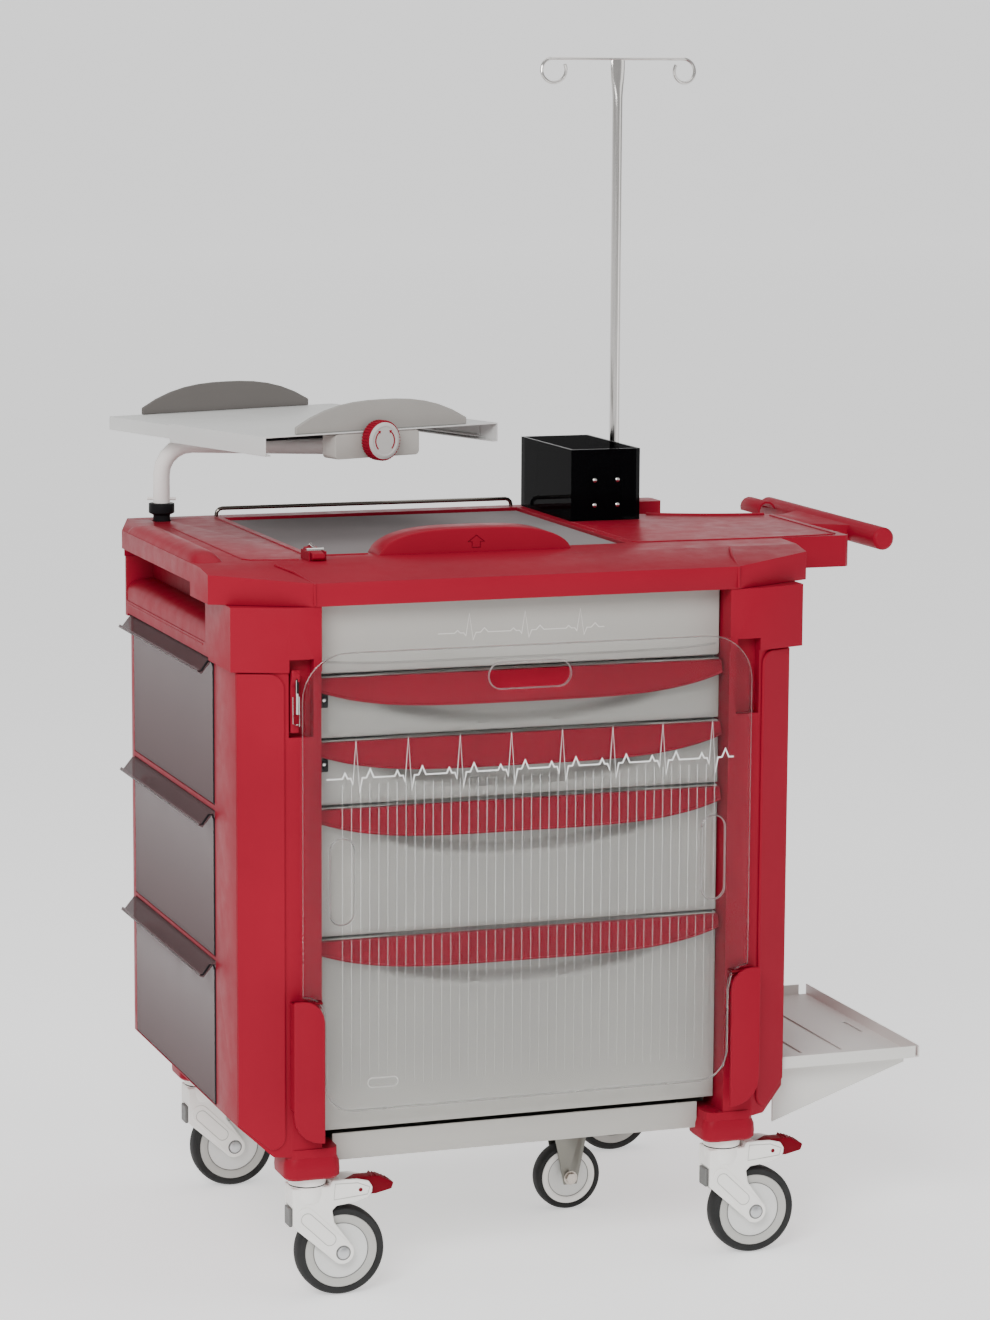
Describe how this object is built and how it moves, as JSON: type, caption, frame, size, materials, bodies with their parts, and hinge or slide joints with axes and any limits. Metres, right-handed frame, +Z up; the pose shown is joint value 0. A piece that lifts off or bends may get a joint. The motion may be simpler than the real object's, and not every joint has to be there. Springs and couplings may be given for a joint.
{
  "type": "emergency crash cart",
  "caption": "Red and beige hospital crash cart with drawers behind a clear door, tilt bins, a lidded worktop, a swivel shelf, an IV pole, a push handle and swivel casters.",
  "frame": {"origin": "centre of the whole cart's footprint, on the floor", "axes": "+X to the right as seen from the drawer side, +Y into the depth away from the drawer fronts, +Z up"},
  "size_m": [1.0685, 0.8566, 1.6765],
  "materials": {
    "base_pan": "satin powder coat",
    "left_side_shell": "satin moulded",
    "right_side_shell": "satin moulded",
    "back_panel": "satin powder coat",
    "left_runner_panel": "satin powder coat",
    "right_runner_panel": "satin powder coat",
    "front_fascia": "satin moulded",
    "door_guard_left": "satin moulded",
    "door_guard_right": "satin moulded",
    "top_cover": "satin moulded",
    "storage_tray": "satin moulded",
    "top_lid": "smoked clear plastic",
    "lid_pull": "satin moulded",
    "lid_latch": "satin moulded",
    "rear_rail": "polished",
    "push_handle": "satin moulded",
    "cable_hook": "satin moulded",
    "acrylic_box": "smoked clear plastic",
    "box_bracket_front": "satin",
    "box_bracket_rear": "satin",
    "iv_pole_tube": "polished",
    "iv_pole_clamp": "satin",
    "iv_pole_rod": "polished",
    "side_tray": "satin powder coat",
    "side_tray_bracket": "satin powder coat",
    "shelf_collar": "satin",
    "shelf_arm": "satin powder coat",
    "shelf_hub": "satin",
    "shelf_plate": "satin powder coat",
    "shelf_slider": "satin powder coat",
    "shelf_guard_front": "satin powder coat",
    "shelf_guard_rear": "satin powder coat",
    "shelf_clamp": "satin moulded",
    "shelf_knob": "satin moulded",
    "drawer_1": "satin moulded",
    "drawer_2": "satin moulded",
    "drawer_3": "satin moulded",
    "drawer_4": "satin moulded",
    "drawer_pull_1": "satin moulded",
    "drawer_pull_2": "satin moulded",
    "drawer_pull_3": "satin moulded",
    "drawer_pull_4": "satin moulded",
    "clear_door": "clear acrylic sheet",
    "door_latch": "satin moulded",
    "tilt_bin_1": "smoked clear plastic",
    "tilt_bin_2": "smoked clear plastic",
    "tilt_bin_3": "smoked clear plastic",
    "caster_fork_front_left": "satin moulded",
    "caster_fork_front_right": "satin moulded",
    "caster_fork_rear_left": "satin moulded",
    "caster_fork_rear_right": "satin moulded",
    "wheel_front_left": "matt",
    "wheel_front_right": "matt",
    "wheel_rear_left": "matt",
    "wheel_rear_right": "matt",
    "brake_pedal_front_left": "satin moulded",
    "brake_pedal_front_right": "satin moulded",
    "fifth_wheel_channel": "satin powder coat",
    "fifth_wheel_fork": "zinc plated",
    "fifth_wheel": "matt"
  },
  "bodies": {
    "cart": {"base_pan": "base_pan", "left_side_shell": "left_side_shell", "right_side_shell": "right_side_shell", "back_panel": "back_panel", "left_runner_panel": "left_runner_panel", "right_runner_panel": "right_runner_panel", "front_fascia": "front_fascia", "door_guard_left": "door_guard_left", "door_guard_right": "door_guard_right", "top_cover": "top_cover", "storage_tray": "storage_tray", "rear_rail": "rear_rail", "push_handle": "push_handle", "cable_hook": "cable_hook", "acrylic_box": "acrylic_box", "box_bracket_front": "box_bracket_front", "box_bracket_rear": "box_bracket_rear", "iv_pole_tube": "iv_pole_tube", "iv_pole_clamp": "iv_pole_clamp", "side_tray": "side_tray", "side_tray_bracket": "side_tray_bracket", "shelf_collar": "shelf_collar", "fifth_wheel_channel": "fifth_wheel_channel", "fifth_wheel_fork": "fifth_wheel_fork"},
    "lid": {"top_lid": "top_lid", "lid_pull": "lid_pull"},
    "lid_catch": {"lid_latch": "lid_latch"},
    "shelf_swing": {"shelf_arm": "shelf_arm", "shelf_hub": "shelf_hub", "shelf_plate": "shelf_plate", "shelf_guard_rear": "shelf_guard_rear"},
    "shelf_front": {"shelf_slider": "shelf_slider", "shelf_guard_front": "shelf_guard_front", "shelf_clamp": "shelf_clamp"},
    "shelf_lock": {"shelf_knob": "shelf_knob"},
    "iv_pole": {"iv_pole_rod": "iv_pole_rod"},
    "door": {"clear_door": "clear_door"},
    "door_catch": {"door_latch": "door_latch"},
    "drawer_1": {"drawer_1": "drawer_1", "drawer_pull_1": "drawer_pull_1"},
    "drawer_2": {"drawer_2": "drawer_2", "drawer_pull_2": "drawer_pull_2"},
    "drawer_3": {"drawer_3": "drawer_3", "drawer_pull_3": "drawer_pull_3"},
    "drawer_4": {"drawer_4": "drawer_4", "drawer_pull_4": "drawer_pull_4"},
    "bin_1": {"tilt_bin_1": "tilt_bin_1"},
    "bin_2": {"tilt_bin_2": "tilt_bin_2"},
    "bin_3": {"tilt_bin_3": "tilt_bin_3"},
    "caster_front_left": {"caster_fork_front_left": "caster_fork_front_left"},
    "roller_front_left": {"wheel_front_left": "wheel_front_left"},
    "caster_front_right": {"caster_fork_front_right": "caster_fork_front_right"},
    "roller_front_right": {"wheel_front_right": "wheel_front_right"},
    "caster_rear_left": {"caster_fork_rear_left": "caster_fork_rear_left"},
    "roller_rear_left": {"wheel_rear_left": "wheel_rear_left"},
    "caster_rear_right": {"caster_fork_rear_right": "caster_fork_rear_right"},
    "roller_rear_right": {"wheel_rear_right": "wheel_rear_right"},
    "pedal_front_left": {"brake_pedal_front_left": "brake_pedal_front_left"},
    "pedal_front_right": {"brake_pedal_front_right": "brake_pedal_front_right"},
    "tracking_roller": {"fifth_wheel": "fifth_wheel"}
  },
  "joints": [
    {"name": "door_lift_off", "type": "slide", "parent": "cart", "child": "door", "axis": [0, -0.515, 0.8572], "range_m": [0, 0.8]},
    {"name": "drawer_1_slide", "type": "slide", "parent": "cart", "child": "drawer_1", "axis": [0, -1, 0], "range_m": [0, 0.38]},
    {"name": "drawer_2_slide", "type": "slide", "parent": "cart", "child": "drawer_2", "axis": [0, -1, 0], "range_m": [0, 0.38]},
    {"name": "drawer_3_slide", "type": "slide", "parent": "cart", "child": "drawer_3", "axis": [0, -1, 0], "range_m": [0, 0.38]},
    {"name": "drawer_4_slide", "type": "slide", "parent": "cart", "child": "drawer_4", "axis": [0, -1, 0], "range_m": [0, 0.38]},
    {"name": "bin_1_tilt", "type": "hinge", "parent": "cart", "child": "bin_1", "pos_m": [-0.5052, -0.0352, 0.6695], "axis": [0, -1, 0], "range_deg": [0, 30]},
    {"name": "bin_2_tilt", "type": "hinge", "parent": "cart", "child": "bin_2", "pos_m": [-0.5052, -0.0352, 0.4585], "axis": [0, -1, 0], "range_deg": [0, 30]},
    {"name": "bin_3_tilt", "type": "hinge", "parent": "cart", "child": "bin_3", "pos_m": [-0.5052, -0.0352, 0.2495], "axis": [0, -1, 0], "range_deg": [0, 30]},
    {"name": "lid_hinge", "type": "hinge", "parent": "cart", "child": "lid", "pos_m": [-0.1022, 0.2318, 0.9915], "axis": [-1, 0, 0], "range_deg": [0, 16.5]},
    {"name": "lid_catch_hinge", "type": "hinge", "parent": "cart", "child": "lid_catch", "pos_m": [-0.3652, -0.2937, 1.0065], "axis": [1, 0, 0], "range_deg": [0, 68]},
    {"name": "shelf_swivel", "type": "hinge", "parent": "cart", "child": "shelf_swing", "pos_m": [-0.4492, 0.2238, 1.0265], "axis": [0, 0, 1], "range_deg": [-35, 108]},
    {"name": "shelf_extension", "type": "slide", "parent": "shelf_swing", "child": "shelf_front", "axis": [0.3007, -0.9537, 0], "range_m": [0, 0.1]},
    {"name": "shelf_knob_turn", "type": "hinge", "parent": "shelf_front", "child": "shelf_lock", "pos_m": [-0.20099, -0.03707, 1.1366], "axis": [-0.3007, 0.9537, 0], "range_deg": [-90, 90]},
    {"name": "iv_pole_slide", "type": "slide", "parent": "cart", "child": "iv_pole", "axis": [0, 0, 1], "range_m": [0, 0.3]},
    {"name": "door_catch_hinge", "type": "hinge", "parent": "cart", "child": "door_catch", "pos_m": [-0.4312, -0.3982, 0.792], "axis": [1, 0, 0], "range_deg": [0, 57]},
    {"name": "caster_swivel_front_left", "type": "hinge", "parent": "cart", "child": "caster_front_left", "pos_m": [-0.4072, -0.3742, 0.1685], "axis": [0, 0, 1], "continuous": true},
    {"name": "wheel_spin_front_left", "type": "hinge", "parent": "caster_front_left", "child": "roller_front_left", "pos_m": [-0.3622, -0.3742, 0.0625], "axis": [0, 1, 0], "continuous": true},
    {"name": "caster_swivel_front_right", "type": "hinge", "parent": "cart", "child": "caster_front_right", "pos_m": [0.2028, -0.3742, 0.1685], "axis": [0, 0, 1], "continuous": true},
    {"name": "wheel_spin_front_right", "type": "hinge", "parent": "caster_front_right", "child": "roller_front_right", "pos_m": [0.2478, -0.3742, 0.0625], "axis": [0, 1, 0], "continuous": true},
    {"name": "caster_swivel_rear_left", "type": "hinge", "parent": "cart", "child": "caster_rear_left", "pos_m": [-0.4072, 0.1758, 0.1685], "axis": [0, 0, 1], "continuous": true},
    {"name": "wheel_spin_rear_left", "type": "hinge", "parent": "caster_rear_left", "child": "roller_rear_left", "pos_m": [-0.3622, 0.1758, 0.0625], "axis": [0, 1, 0], "continuous": true},
    {"name": "caster_swivel_rear_right", "type": "hinge", "parent": "cart", "child": "caster_rear_right", "pos_m": [0.2028, 0.1758, 0.1685], "axis": [0, 0, 1], "continuous": true},
    {"name": "wheel_spin_rear_right", "type": "hinge", "parent": "caster_rear_right", "child": "roller_rear_right", "pos_m": [0.2478, 0.1758, 0.0625], "axis": [0, 1, 0], "continuous": true},
    {"name": "brake_press_front_left", "type": "hinge", "parent": "caster_front_left", "child": "pedal_front_left", "pos_m": [-0.3452, -0.3742, 0.15], "axis": [0, 1, 0], "range_deg": [0, 11.5]},
    {"name": "brake_press_front_right", "type": "hinge", "parent": "caster_front_right", "child": "pedal_front_right", "pos_m": [0.2648, -0.3742, 0.15], "axis": [0, 1, 0], "range_deg": [0, 11.5]},
    {"name": "tracking_wheel_spin", "type": "hinge", "parent": "cart", "child": "tracking_roller", "pos_m": [0.0728, -0.0962, 0.05], "axis": [0, 1, 0], "continuous": true}
  ],
  "couplings": [
    {"joint": "drawer_1_slide", "follows": "door_lift_off", "ratio": 0.475},
    {"joint": "drawer_2_slide", "follows": "door_lift_off", "ratio": 0.475},
    {"joint": "drawer_3_slide", "follows": "door_lift_off", "ratio": 0.475},
    {"joint": "drawer_4_slide", "follows": "door_lift_off", "ratio": 0.475}
  ]
}
